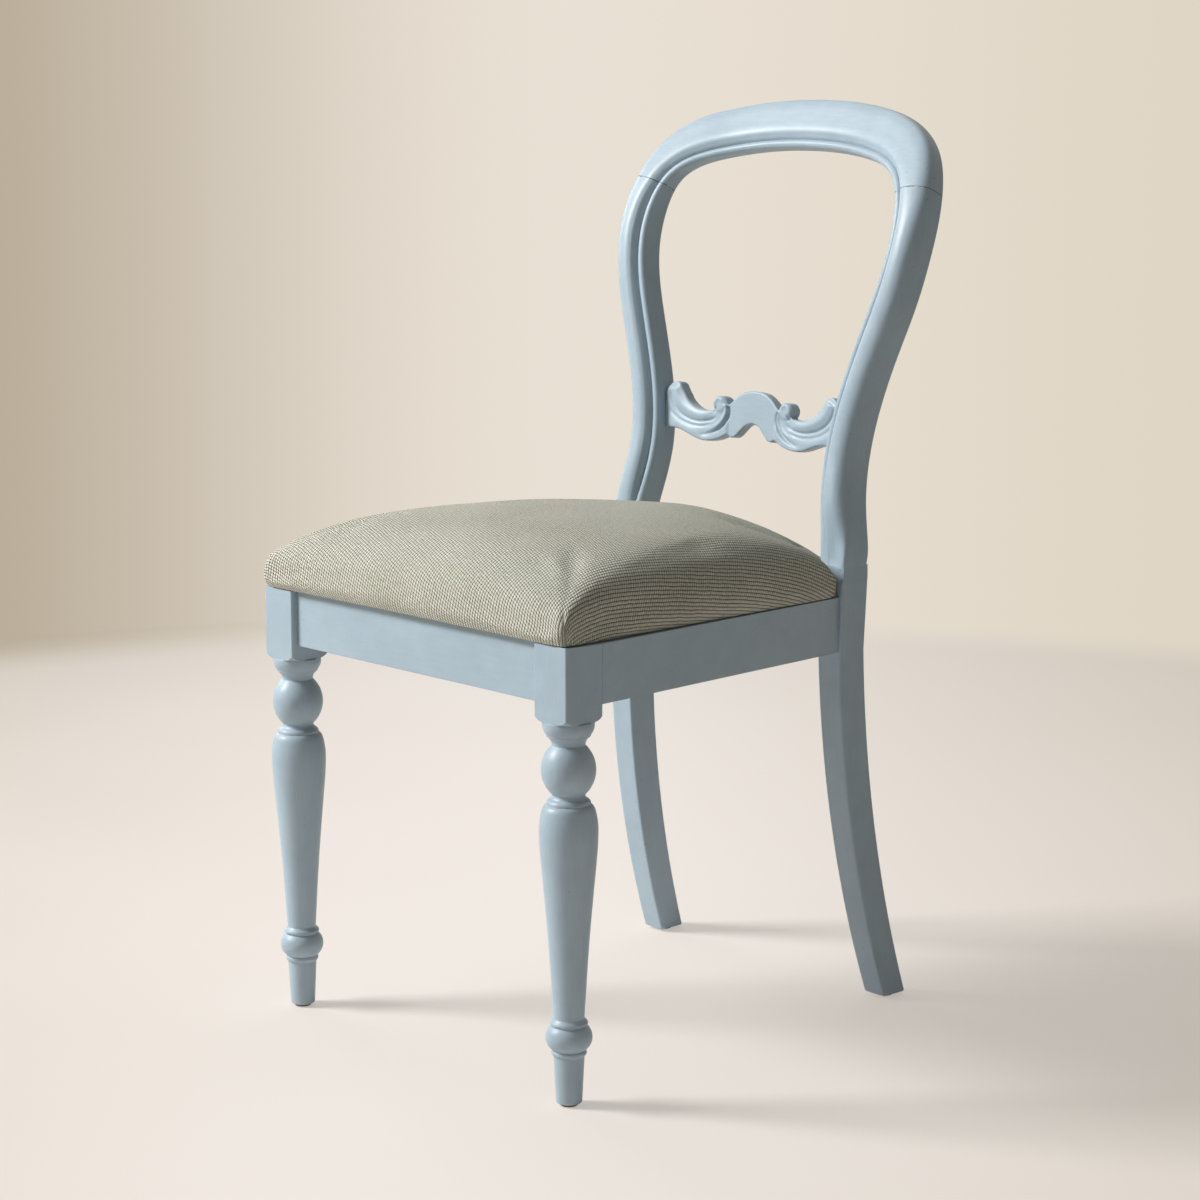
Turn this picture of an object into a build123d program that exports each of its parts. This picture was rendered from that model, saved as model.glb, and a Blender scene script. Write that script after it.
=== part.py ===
from build123d import *
import os
from math import asin, atan2, cos, degrees, pi, radians, sin, tan

# A balloon back dining chair in painted beech with an upholstered seat pad.
# Millimetres. X runs left to right, Y from the front legs to the back, Z up.
# While it is built, Y = 0 is the line through the front legs' centres.

# Seat frame, seen from above
leg_spacing = 388.5        # between the centres of the front legs
block_side = 42.0          # square block at the head of a front leg
post_inner = 131.3         # inner side of a back post at the seat
post_width = 29.1
post_front = 369.8         # front of a back post at the seat
post_depth = 33.8          # front to back of a back post at the seat
rail_thickness = 21.0
rail_setback = 6.0         # the front rail stands behind the faces of the blocks
side_setback = 0.8         # the side rails stand behind them too
rear_rail_inset = 5.0      # the rear rail stands inside the backs of the posts

# Seat frame, seen from the side
seat_height = 410.0        # top of the front rail
seat_pitch = 1.3           # degrees that the seat falls towards the back
rail_height = 52.5

# Turned front leg: the foot from the floor up, the head from the seat down, the taper between them
glide_height = 2.5
peg_foot_radius = 11.6
peg_top_radius = 13.6
peg_top = 45.0
bulb_radius = 20.5
bulb_height = 61.5
bulb_half = 11.0           # half the height of the bulb
ring_radius = 16.6         # the ring above the bulb
ankle_radius = 13.5
ankle_height = 79.0
vase_radius = 25.7
vase_shoulder_radius = 19.3
neck_radius = 14.5
ball_radius = 23.8
ball_half = 20.2           # half the height of the ball
collar_radius = 22.3
shoulder_height = 10.0     # rounding of the block's foot
block_length = 68.0        # from the seat down to the block's foot
collar_drop = 13.0         # from the block's foot down to the collar's
ball_drop = 42.5           # to the middle of the ball
vase_shoulder_drop = 72.7
vase_drop = 95.0           # to the widest place of the vase

# Back post below the seat
foot_inner = 144.4
foot_width = 26.5
foot_sweep = 58.5          # the foot stands this far behind the post
foot_depth = 29.7
post_edge_radius = 2.0

# Balloon frame: the inner edge of its front face, right half. Each place has its distance
# from the middle, its rise above the seat and its rake, which is how far it lies behind
# the front of the posts.
stile_rise = 20.0          # the plain post ends and the moulding stands on it
post_flare = 33.5          # width of the post under the moulding
neck_length = 16.0         # the post draws in to the moulding over this height
neck_inner = 1.0           # by this much at its inner side,
neck_outer = 1.2           # this much at its outer side
neck_front = 1.6           # and this much at its front
root_depth = 3.0           # the moulding is drawn from this far inside the post
root_inset, root_rake = 2.0, 1.6    # from the post's inner side and from its front
root_width, root_thickness = 29.3, 30.4
waist_half, waist_rise, waist_rake = 115.7, 114.0, 21.5
belly_half, belly_rise, belly_rake = 142.4, 230.0, 36.1
shoulder_half, shoulder_rise, shoulder_rake = 165.8, 325.0, 53.9
corner_half, corner_rise, corner_rake = 150.0, 375.3, 74.3
brow_half, brow_rise, brow_rake = 105.3, 395.1, 94.5
crown_rise, crown_rake = 405.0, 105.8

# Balloon frame: its section
stile_width = 36.1
stile_crown = 10.5         # the rounded front stands this far before the bead
stile_depth = 22.8         # from the bead to the back
stile_side = 11.9          # the rounded front runs this far back before the flat side
crest_width = 52.0
crest_crown = 5.0
crest_depth = 14.5
crest_side = 10.0
crest_easing = 3.5         # the inner back edge is this much rounder on the crest
crest_tilt = 24.0          # degrees that the top of the crest leans back
bead_width = 7.0
bead_rise = 2.0
quirk_width = 0.8
flank_width = 3.6          # the steep flank that rises from the quirk to the rounded front
flank_share = 0.74         # it rises by this share of the crown
crown_share = 0.46         # the rounded front is highest at this share of its width
back_edge_radius = 2.0
seam_gap = 0.12            # glue line between a post and the crest
seam_rise = 366.0
seam_tilt = 9.0            # degrees that the seam rises towards the outside

# Carved rail across the back
carved_rise = 165.0        # of its centre above the seat
carved_setback = 37.7      # its front face at the posts, behind the front of the posts
carved_bow = 4.5           # its middle stands this much further back
carved_thickness = 12.4
carved_rake = 8.0          # degrees
tenon_length = 10.0
tenon_height = 18.0
tenon_thickness = 8.0
tenon_level = -24.0        # below the level of the rail's centre
tenon_clearance = 0.15

# Dowels, screws and staples
dowel_radius = 4.0
dowel_length = 32.0
dowel_clearance = 0.1
crest_dowel_length = 36.0
crest_dowel_setback = 6.0  # behind the front edge of the bead
side_dowel_levels = (13.0, 35.0)    # below the top of the rails
cross_dowel_levels = (24.0, 45.0)
block_height = 30.0        # corner block
block_drop = 3.0           # below the top of the rails
flange = 15.0              # thickness of a corner block under its screws
flange_length = 24.0
block_screw_length = 32.0
seat_screw_length = 42.0
screw_radius = 2.0
screw_head_radius = 4.0
screw_clearance = 0.1
glide_radius = 8.0
glide_pin_radius = 1.1
glide_pin_length = 16.0

# Seat pad
fabric = 1.2
board_thickness = 10.0
pad_clearance = 0.3
front_overhang = 3.6       # the pad's bulge stands this far before the blocks of the front legs,
side_overhang = 3.05       # this far outside them at the front
rear_inset = 5.0           # and ends this far inside the backs of the posts
rear_side_inset = 2.8      # and inside their outer sides
pad_height = 77.0          # from the rails to the top of the crown
post_gap = 1.8             # between the pad and the posts it is cut round
fabric_lip = 38.0          # the cover is turned under the board this far
lining_gap = 7.4           # between the lining and the side rails at the front
lining_thickness = 0.8
lining_corner = 50.0
staple_width = 10.0
staple_wire = 0.7
staple_leg = 7.0

# Roll of the pad from its drawn-in lower edge over the bulge to the crown:
# distance inside the bulge, height, radius of the corners
pad_roll = [
    (3.6, 0.0, 18), (0.0, 13.5, 22), (1.2, 32.0, 26), (5.0, 45.5, 34), (15.0, 57.0, 48),
    (34.0, 65.8, 64), (62.0, 72.0, 72), (88.0, 75.3, 66), (102.0, 76.5, 60), (110.0, 77.0, 56)]
pad_draw = pad_roll[0][0]
rear_roll = 0.55           # the roll is this much tighter at the back

# Places that follow from the sizes above
half_block = block_side / 2
leg_x = leg_spacing / 2
block_front = -half_block
block_foot = seat_height - block_length
collar_foot = block_foot - collar_drop
ball_height = block_foot - ball_drop
vase_shoulder = block_foot - vase_shoulder_drop
vase_height = block_foot - vase_drop
post_outer = post_inner + post_width
post_back = post_front + post_depth
foot_front = post_front + foot_sweep
stile_base = seat_height + stile_rise
waist_height = seat_height + waist_rise
belly_height = seat_height + belly_rise
shoulder_top = seat_height + shoulder_rise
crown_height = seat_height + crown_rise
seam_height = seat_height + seam_rise
carved_height = seat_height + carved_rise
carved_front = post_front + carved_setback
pad_front = block_front - front_overhang
pad_back = post_back - rear_inset
pad_front_half = leg_x + half_block + side_overhang
pad_taper = (pad_front_half - post_outer + rear_side_inset) / (pad_back - pad_front)
cut_low, cut_high = seat_height - 2 * rail_height, seat_height + rail_height
far = 2 * leg_spacing      # a cut that goes right through reaches this far
pitch = radians(seat_pitch)
seat_plane = Plane(origin=(0, block_front, seat_height), x_dir=(1, 0, 0), z_dir=(0, sin(pitch), cos(pitch)))
side_front = Vector(leg_x + half_block - side_setback, half_block)
side_rear = Vector(post_outer - 1.9, post_front)
rear_rail_back = post_back - rear_rail_inset
rear_rail_front = rear_rail_back - rail_thickness


def seat_level(y):
    """Height of the top of the rails at a distance y from the front legs."""
    return seat_height - (y - block_front) * tan(pitch)


def prism(points, low, high):
    """Upright prism over a polygon of plan points."""
    face = make_face(Polyline(*points, close=True))
    return Pos(0, 0, low) * extrude(face, high - low, dir=(0, 0, 1))


def both(solid):
    """A solid on the right and its mirror image on the left."""
    return solid, mirror(solid, about=Plane.YZ)


def rod(start, direction, length, radius):
    """Round rod from a point along a direction."""
    plane = Plane(origin=start, z_dir=direction)
    return plane * Cylinder(radius, length, align=(Align.CENTER, Align.CENTER, Align.MIN))


def dowel(centre, direction, length=dowel_length):
    """Dowel pin with eased ends, centred on the face where two pieces meet."""
    axis = Vector(direction).normalized()
    pin = rod(Vector(centre) - axis * (length / 2), axis, length, dowel_radius)
    return chamfer(pin.edges(), 0.8)


def dowel_hole(centre, direction, length=dowel_length):
    axis = Vector(direction).normalized()
    full = length + 2.0
    return rod(Vector(centre) - axis * (full / 2), axis, full, dowel_radius + dowel_clearance)


def wood_screw(head, direction, length):
    """Countersunk screw with a cross recess; head is the middle of its flat top."""
    axis = Vector(direction).normalized()
    plane = Plane(origin=head, z_dir=axis)
    outline = Polyline(
        (0, 0), (screw_head_radius, 0), (screw_head_radius, 0.5), (screw_radius, 3.0),
        (screw_radius, length - 5), (0, length), close=True)
    body = revolve(make_face(Plane.XZ * outline), Axis.Z)
    slot = Box(4.4, 0.9, 1.4, align=(Align.CENTER, Align.CENTER, Align.MIN))
    return plane * (body - slot - Rot(0, 0, 90) * slot)


def screw_hole(head, direction, length):
    """Clearance hole of a screw, with its countersink."""
    axis = Vector(direction).normalized()
    plane = Plane(origin=head, z_dir=axis)
    c = screw_clearance
    outline = Polyline(
        (0, -30), (screw_head_radius + c, -30), (screw_head_radius + c, 0.5 + c),
        (screw_radius + c, 3.0 + c), (screw_radius + c, length + 1), (0, length + 1), close=True)
    return plane * revolve(make_face(Plane.XZ * outline), Axis.Z)


# ---------------------------------------------------------------- front legs
def taper_point(wider, higher):
    """Point of the taper at these shares of its gain in radius and of its height."""
    return (ankle_radius + (vase_radius - ankle_radius) * wider,
            ankle_height + (vase_height - ankle_height) * higher)


def turned_outline():
    """Half section of the turning, (radius, height), from the foot to the block."""
    foot = glide_height
    bulb_low, bulb_high = bulb_height - bulb_half, bulb_height + bulb_half
    ball_low, ball_high = ball_height - ball_half, ball_height + ball_half
    ball_edge = neck_radius + 1.3
    edges = [
        Line((0, foot), (peg_foot_radius - 1.4, foot)),
        ThreePointArc((peg_foot_radius - 1.4, foot), (peg_foot_radius - 0.3, foot + 0.9),
                      (peg_foot_radius, foot + 2.6)),
        Line((peg_foot_radius, foot + 2.6), (peg_top_radius, peg_top)),
        ThreePointArc((peg_top_radius, peg_top), (peg_top_radius + 1.9, peg_top + 2.6),
                      (peg_top_radius + 0.9, bulb_low)),
        ThreePointArc((peg_top_radius + 0.9, bulb_low), (bulb_radius, bulb_height),
                      (ring_radius - 1.2, bulb_high)),
        ThreePointArc((ring_radius - 1.2, bulb_high), (ring_radius, bulb_high + 2.4),
                      (ring_radius - 1.5, bulb_high + 4.4)),
        Line((ring_radius - 1.5, bulb_high + 4.4), (ankle_radius, ankle_height)),
        Spline((ankle_radius, ankle_height), taper_point(0.377, 0.423), taper_point(0.828, 0.792),
               (vase_radius, vase_height), tangents=[(0.062, 1), (0, 1)]),
        Spline((vase_radius, vase_height),
               (vase_radius - (vase_radius - vase_shoulder_radius) * 0.25,
                vase_height + (vase_shoulder - vase_height) * 0.605),
               (vase_shoulder_radius, vase_shoulder), tangents=[(0, 1), (-1, 0.5)]),
        ThreePointArc((vase_shoulder_radius, vase_shoulder), (vase_shoulder_radius - 0.2, vase_shoulder + 2.2),
                      (neck_radius + 2.6, vase_shoulder + 4.4)),
        ThreePointArc((neck_radius + 2.6, vase_shoulder + 4.4), (neck_radius + 0.4, vase_shoulder + 6.6),
                      (neck_radius, ball_low - 1.2)),
        Line((neck_radius, ball_low - 1.2), (ball_edge, ball_low)),
        ThreePointArc((ball_edge, ball_low), (ball_radius, ball_height), (ball_edge, ball_high)),
        Line((ball_edge, ball_high), (neck_radius, ball_high + 1.4)),
        ThreePointArc((neck_radius, ball_high + 1.4), (neck_radius + 1.0, ball_high + 5.4),
                      (neck_radius + 3.6, collar_foot - 0.8)),
        Line((neck_radius + 3.6, collar_foot - 0.8), (neck_radius + 4.6, collar_foot)),
        Line((neck_radius + 4.6, collar_foot), (collar_radius - 2.6, collar_foot + 1.8)),
        ThreePointArc((collar_radius - 2.6, collar_foot + 1.8), (collar_radius - 0.2, collar_foot + 6.4),
                      (collar_radius, block_foot)),
        Line((collar_radius, block_foot), (0, block_foot)),
        Line((0, block_foot), (0, foot)),
    ]
    return make_face(Wire(edges))


def front_leg():
    """Right front leg: turning, ring of rounded shoulders and square block in one piece of wood."""
    turning = revolve(Plane.XZ * turned_outline(), Axis.Z)
    corner = half_block * 2 ** 0.5
    block = Pos(0, 0, block_foot) * Box(
        block_side, block_side, seat_height + 5 - block_foot, align=(Align.CENTER, Align.CENTER, Align.MIN))
    block = fillet(block.edges().filter_by(Axis.Z), 1.8)
    rounding = make_face(Wire([
        Line((0, block_foot), (collar_radius + 0.7, block_foot)),
        ThreePointArc((collar_radius + 0.7, block_foot),
                      (collar_radius + (corner - collar_radius) * 0.78, block_foot + shoulder_height * 0.32),
                      (corner + 0.2, block_foot + shoulder_height)),
        Line((corner + 0.2, block_foot + shoulder_height), (corner + 0.2, seat_height + 5)),
        Line((corner + 0.2, seat_height + 5), (0, seat_height + 5)),
        Line((0, seat_height + 5), (0, block_foot)),
    ]))
    block = block & revolve(Plane.XZ * rounding, Axis.Z)
    leg = Pos(leg_x, 0, 0) * (turning + block)
    return split(leg, bisect_by=seat_plane, keep=Keep.BOTTOM)


# ---------------------------------------------------------------- balloon frame
def half_points():
    """Inner front edge of the frame from the right post's foot to the shoulder of the crest."""
    return [
        (post_inner + root_inset, post_front + root_rake, stile_base - root_depth),
        (waist_half, post_front + waist_rake, waist_height),
        (belly_half, post_front + belly_rake, belly_height),
        (shoulder_half, post_front + shoulder_rake, shoulder_top),
        (corner_half, post_front + corner_rake, seat_height + corner_rise),
        (brow_half, post_front + brow_rake, seat_height + brow_rise),
    ]


right_edge = half_points()
left_edge = [(-x, y, z) for x, y, z in reversed(right_edge)]
frame_path = Spline(*right_edge, (0, post_front + crown_rake, crown_height), *left_edge,
                    tangents=[(-0.26, 0.20, 1), (-0.26, -0.20, -1)])


def ease(low, high, value):
    """Smooth step from 0 at low to 1 at high."""
    t = min(1, max(0, (value - low) / (high - low)))
    return t * t * (3 - 2 * t)


def frame_axes(share):
    """Point on the path, and the outward and forward directions of the section there."""
    point, along = frame_path @ share, frame_path % share
    outward = Vector(along.Z, 0, -along.X).normalized()
    back = along.cross(outward).normalized()
    tilt = radians(crest_tilt) * ease(shoulder_top, crown_height, point.Z)
    return point, outward * cos(tilt) + back * sin(tilt), outward * sin(tilt) - back * cos(tilt)


def section_plane(share):
    """Plane of the section: local X points outwards and local Y forwards."""
    point, outward, forward = frame_axes(share)
    if share in (0, 1):
        outward = Vector(1 if share == 0 else -1, 0, 0)
        forward = Vector(0, -1, 0)
    return Plane(origin=point, x_dir=outward, z_dir=outward.cross(forward))


def section_sizes(height):
    """Width, crown, side, depth, inner edge and share of moulding of the section at a height."""
    grown = ease(stile_base, stile_base + 50, height)
    widened = ease(stile_base, stile_base + 28, height)
    crested = ease(shoulder_top, crown_height, height)
    thinned = ease(stile_base, belly_height, height)
    width = root_width + (stile_width - root_width) * widened + (crest_width - stile_width) * crested
    crown = stile_crown * grown + (crest_crown - stile_crown) * crested
    side = 2.4 + (stile_side - 2.4) * grown + (crest_side - stile_side) * crested
    depth = root_thickness + (stile_depth - root_thickness) * (0.5 * grown + 0.5 * thinned)
    depth += (crest_depth - stile_depth) * crested
    inner = back_edge_radius + crest_easing * crested
    return width, crown, side, depth, inner, 0.06 + 0.94 * grown


def moulded_section(share):
    """Section of the frame: flat inner side, bead, quirk, steep flank, rounded front, side and back."""
    plane = section_plane(share)
    width, crown, side, depth, inner, relief = section_sizes(plane.origin.Z)
    r = back_edge_radius
    quirk = bead_width + quirk_width
    flank = quirk + flank_width
    rise = flank_share * crown
    edges = [
        Line((0, inner - depth), (0, -1.5 * relief)),
        ThreePointArc((0, -1.5 * relief), (bead_width * 0.48, bead_rise * relief), (bead_width, 0.8 * relief)),
        Line((bead_width, 0.8 * relief), (quirk, -0.4 * relief)),
        ThreePointArc((quirk, -0.4 * relief), (quirk + flank_width * 0.4, rise * 0.6), (flank, rise)),
        Spline((flank, rise), (quirk + (width - quirk) * crown_share, crown), (width, -side),
               tangents=[(1, 0.9 * relief), (0, -1)]),
        Line((width, -side), (width, r - depth)),
        ThreePointArc((width, r - depth), (width - r * 0.3, r * 0.3 - depth), (width - r, -depth)),
        Line((width - r, -depth), (inner, -depth)),
        ThreePointArc((inner, -depth), (inner * 0.3, inner * 0.3 - depth), (0, inner - depth)),
    ]
    return plane * make_face(Wire(edges))


def balloon_frame():
    """The moulded frame in one sweep, from the right post over the crest to the left post."""
    half = [0, 0.05, 0.11, 0.18, 0.26, 0.34, 0.42, 0.5, 0.58, 0.65, 0.71, 0.77, 0.83, 0.89, 0.95]
    shares = [s / 2 for s in half] + [0.5] + [1 - s / 2 for s in reversed(half)]
    return loft([moulded_section(s) for s in shares])


def share_at(height):
    """Share of the path, on the right side, that reaches a height."""
    low, high = 0.0, 0.5
    for _ in range(40):
        middle = (low + high) / 2
        if (frame_path @ middle).Z < height:
            low = middle
        else:
            high = middle
    return low


seam_share = share_at(seam_height)
seam_point, seam_out, seam_forward = frame_axes(seam_share)
seam_across = Vector(cos(radians(seam_tilt)), 0, sin(radians(seam_tilt)))
seam_normal = seam_across.cross(Vector(0, seam_forward.Y, seam_forward.Z)).normalized()
if seam_normal.Z < 0:
    seam_normal = seam_normal * -1
seam_plane = Plane(origin=seam_point, z_dir=seam_normal)
left_seam_plane = Plane(origin=(-seam_point.X, seam_point.Y, seam_point.Z),
                        z_dir=(-seam_normal.X, seam_normal.Y, seam_normal.Z))


def sabre_leg():
    """Right back leg, which curves back below the rails, and the plain post beside them."""
    foot_back = foot_front + foot_depth
    neck = stile_base - neck_length
    rail_foot = seat_level(post_front) - rail_height
    side = make_face(Wire([
        TangentArc((post_front, rail_foot), (foot_front, glide_height), tangent=(0, -1)),
        Line((foot_front, glide_height), (foot_back, glide_height)),
        TangentArc((post_back, rail_foot), (foot_back, glide_height), tangent=(0, -1)),
        Line((post_back, rail_foot), (post_back, stile_base)),
        Line((post_back, stile_base), (post_front, stile_base)),
        Line((post_front, stile_base), (post_front, rail_foot)),
    ]))
    flare_outer = post_inner + post_flare
    neck_share = (neck - rail_foot) / (stile_base - rail_foot)
    front = make_face(Polyline(
        (foot_inner, glide_height), (foot_inner + foot_width, glide_height), (post_outer, rail_foot),
        (flare_outer, stile_base), (post_inner, stile_base), (post_inner, rail_foot), close=True))
    across = extrude(Plane.YZ * side, far, dir=(1, 0, 0))
    along = Pos(0, far, 0) * extrude(Plane.XZ * front, far, dir=(0, -1, 0))
    leg = across & along
    long_edges = [e for e in leg.edges() if e.bounding_box().size.Z > neck_length - 1]
    leg = fillet(long_edges, post_edge_radius)
    for start, inward, inset in (
            ((post_inner, 0, neck), Vector(1, 0, 0), neck_inner),
            ((post_outer + (flare_outer - post_outer) * neck_share, 0, neck), Vector(-1, 0, 0), neck_outer),
            ((0, post_front, neck), Vector(0, 1, 0), neck_front)):
        face = Plane(origin=start, z_dir=Vector(0, 0, inset) - inward * neck_length)
        leg = split(leg, bisect_by=face, keep=Keep.BOTTOM)
    foot_edges = [e for e in leg.edges() if e.bounding_box().max.Z < glide_height + 0.01]
    return chamfer(foot_edges, 1.6)


# ---------------------------------------------------------------- seat rails and corner blocks
def rail_band(top=0.0, height=rail_height):
    """Slab between the tops and the bottoms of the rails, parallel to the pitched seat."""
    slab = Box(far, 2 * far, height, align=(Align.CENTER, Align.CENTER, Align.MAX))
    return seat_plane * (Pos(0, 0, -top) * slab)


def side_inner(y, offset=0.0):
    """X of the inner face of the right side rail, or of a line inside it."""
    along = (side_rear - side_front).normalized()
    across = (rail_thickness + offset) / along.Y
    share = (y - side_front.Y) / (side_rear.Y - side_front.Y)
    return side_front.X + (side_rear.X - side_front.X) * share - across


def make_front_rail():
    x, y = leg_x - half_block, block_front + rail_setback
    plan = [(-x, y), (x, y), (x, y + rail_thickness), (-x, y + rail_thickness)]
    return prism(plan, cut_low, cut_high) & rail_band()


def make_side_rail():
    plan = [
        (side_front.X, side_front.Y), (side_rear.X, side_rear.Y),
        (side_inner(side_rear.Y), side_rear.Y), (side_inner(side_front.Y), side_front.Y)]
    return prism(plan, cut_low, cut_high) & rail_band()


def make_rear_rail():
    plan = [(-post_inner, rear_rail_front), (post_inner, rear_rail_front),
            (post_inner, rear_rail_back), (-post_inner, rear_rail_back)]
    return prism(plan, cut_low, cut_high) & rail_band()


front_rail_back = block_front + rail_setback + rail_thickness
side_along = (side_rear - side_front).normalized()
side_across = Vector(side_along.Y, -side_along.X)


def front_corner_plan():
    """Corner block behind a front leg, cut around the leg's block."""
    leg_inner = leg_x - half_block - 0.5
    start = leg_inner - 52
    y = front_rail_back
    end = Vector(side_inner(y + 72), y + 72)
    return [
        (start, y), (leg_inner, y), (leg_inner, half_block + 0.5),
        (side_inner(half_block + 0.5), half_block + 0.5), (end.X, end.Y),
        (end.X - flange * side_across.X, end.Y - flange * side_across.Y),
        (end.X - flange * side_across.X - flange_length * side_along.X,
         end.Y - flange * side_across.Y - flange_length * side_along.Y),
        (start + flange_length, y + flange), (start, y + flange)]


def rear_corner_plan():
    """Corner block before a back post, cut around the post."""
    y = rear_rail_front
    start = post_inner - 0.5 - 44
    end = Vector(side_inner(post_front - 60), post_front - 60)
    return [
        (start, y), (post_inner - 0.5, y), (post_inner - 0.5, post_front - 0.5),
        (side_inner(post_front - 0.5), post_front - 0.5), (end.X, end.Y),
        (end.X - flange * side_across.X, end.Y - flange * side_across.Y),
        (end.X - flange * side_across.X + flange_length * side_along.X,
         end.Y - flange * side_across.Y + flange_length * side_along.Y),
        (start + flange_length, y - flange), (start, y - flange)]


block_level = block_drop + block_height / 2


def block_screws():
    """Head places and directions of the screws that hold the right corner blocks to the rails."""
    front, rear = front_corner_plan(), rear_corner_plan()
    places = []
    for plan, way in ((front, -1), (rear, 1)):
        first = Vector(plan[8][0] + flange_length / 2 - 1, plan[8][1])
        second = (Vector(plan[5][0], plan[5][1]) + Vector(plan[6][0], plan[6][1])) * 0.5
        places.append((first, Vector(0, way, 0)))
        places.append((second, Vector(side_across.X, side_across.Y, 0)))
    return [(Vector(p.X, p.Y, seat_level(p.Y) - block_level), d) for p, d in places]


def seat_screws():
    """Head places of the screws that run up through the right corner blocks into the seat board."""
    spots = [(leg_x - half_block + 1, half_block + 22), (post_inner - 3.3, post_front - 18)]
    up = seat_plane.z_dir
    low = block_drop + block_height
    return [(Vector(x, y, seat_level(y)) - up * low, up) for x, y in spots]


# ---------------------------------------------------------------- seat pad
def along_seat(y):
    """Distance along the pitched seat from its front edge."""
    return (y - block_front) / cos(pitch)


def pad_plan(inset, radius, rear_inset):
    """Tapered outline of the pad in the seat's plane, with rounded corners, as a face."""
    front, back = along_seat(pad_front) + inset, along_seat(pad_back) - rear_inset
    sides = (1 + pad_taper * pad_taper) ** 0.5
    fx = pad_front_half - pad_taper * inset - inset * sides
    bx = fx - pad_taper * (back - front)
    outline = make_face(Polyline((-fx, front), (fx, front), (bx, back), (-bx, back), close=True))
    return fillet(outline.vertices(), min(radius, 1.08 * bx))


def post_notches(clearance):
    """What the pad leaves free for the two posts, which lean in above the rails."""
    x = post_inner - clearance
    lean = (post_inner - waist_half) * 0.9
    top = stile_base + 70
    side = Polyline((x, cut_low), (x, stile_base - 8), (x - lean, top), (far, top), (far, cut_low), close=True)
    return both(Pos(0, far, 0) * extrude(Plane.XZ * make_face(side), far - post_front + clearance,
                                         dir=(0, -1, 0)))


def crowned_pad(skin):
    """The crowned pad cut round the posts, made smaller all round by a skin's thickness."""
    sections = []
    for inset, level, radius in pad_roll:
        rise = skin + level * (pad_height - 2 * skin) / pad_height
        face = pad_plan(inset + skin, radius, inset * rear_roll + skin)
        sections.append(seat_plane * (Pos(0, 0, rise) * face))
    right, left = post_notches(post_gap + skin)
    return loft(sections) - right - left


def seat_slab(inset, low, high, corner=18, notched=True):
    """Flat sheet in the seat's plane, inside the drawn-in lower edge of the pad."""
    plan = pad_plan(pad_draw + inset, corner, pad_draw * rear_roll + inset)
    slab = seat_plane * (Pos(0, 0, low) * extrude(plan, high - low, dir=(0, 0, 1)))
    if notched:
        right, left = post_notches(post_gap + inset)
        slab = slab - right - left
    return slab


lining_inset = pad_front_half - pad_draw - side_inner(half_block) + lining_gap


def staple_places():
    """Places and turns of the staples round the edge of the lining, in the seat's plane."""
    ring = pad_draw + lining_inset + 4
    front, back = along_seat(pad_front) + ring, along_seat(pad_back) - ring
    spots = [(x, front, 0) for x in (-125, -75, -25, 25, 75, 125)]
    spots += [(x, back, 0) for x in (-70, 0, 70)]
    turn = 90 + degrees(atan2(pad_taper, 1))
    for k in range(5):
        v = front + 62 + k * (back - front - 124) / 4
        x = pad_front_half - pad_taper * (v - along_seat(pad_front)) - ring * 1.01
        spots += [(x, v, turn), (-x, v, -turn)]
    return spots


def staple(clearance=0.0):
    """Wire staple: a flat back with two legs that go up into the board."""
    w = staple_wire + 2 * clearance
    back = Box(staple_width, w, staple_wire, align=(Align.CENTER, Align.CENTER, Align.MAX))
    leg = Box(w, w, staple_leg + clearance, align=(Align.CENTER, Align.CENTER, Align.MIN))
    reach = staple_width / 2 - staple_wire / 2
    legs = [Pos(side * reach, 0, -0.1) * leg for side in (-1, 1)]
    return legs if clearance else back + legs


# ---------------------------------------------------------------- carved rail
def carved_outline():
    """Front outline of the carved rail about its centre, right half mirrored to the left."""
    end = belly_half + 8
    right = [
        Spline((0, 5.8), (13, 4.2), (25, -2.2), (34.6, -10.6), tangents=[(1, 0), (0.62, -1)]),
        ThreePointArc((34.6, -10.6), (45.8, -2.0), (54.6, -9.0)),
        ThreePointArc((54.6, -9.0), (53.6, -13.6), (50.4, -16.4)),
        Spline((50.4, -16.4), (68, -17.8), (85, -12.4), (96, -1.2), (101.5, 6.0),
               tangents=[(1, 0.05), (0.6, 1)]),
        Spline((101.5, 6.0), (107.5, 7.4), (114.5, 3.8), (end, -12), tangents=[(1, 0.9), (1, -0.6)]),
        Line((end, -12), (end, -39)),
        Line((end, -39), (112, -39)),
        Spline((112, -39), (98, -38.8), (80, -43.8), (60, -47.8), (43, -44.4), (32.6, -39.2),
               tangents=[(-1, 0), (-0.6, 1)]),
        Line((32.6, -39.2), (28, -42.0)),
        Spline((28, -42.0), (21, -40.4), (11, -30.2), (0, -25.8), tangents=[(-1, 0.1), (-1, 0)]),
    ]
    left = [mirror(edge, about=Plane.YZ).edge() for edge in right]
    return make_face(Wire(right + left))


def carved_blank():
    """Carved rail before it is cut to the posts, bowed in plan and raked with the back."""
    bow_radius = (waist_half ** 2 + carved_bow ** 2) / (2 * carved_bow)
    ring = Cylinder(bow_radius + carved_thickness, 200) - Cylinder(bow_radius, 220)
    ring = Pos(0, carved_bow - bow_radius, 0) * ring
    body = Pos(0, 60, 0) * extrude(Plane.XZ * carved_outline(), 120, dir=(0, -1, 0))
    body = body & ring
    return Pos(0, carved_front, carved_height) * (Rot(-carved_rake, 0, 0) * body)


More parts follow.
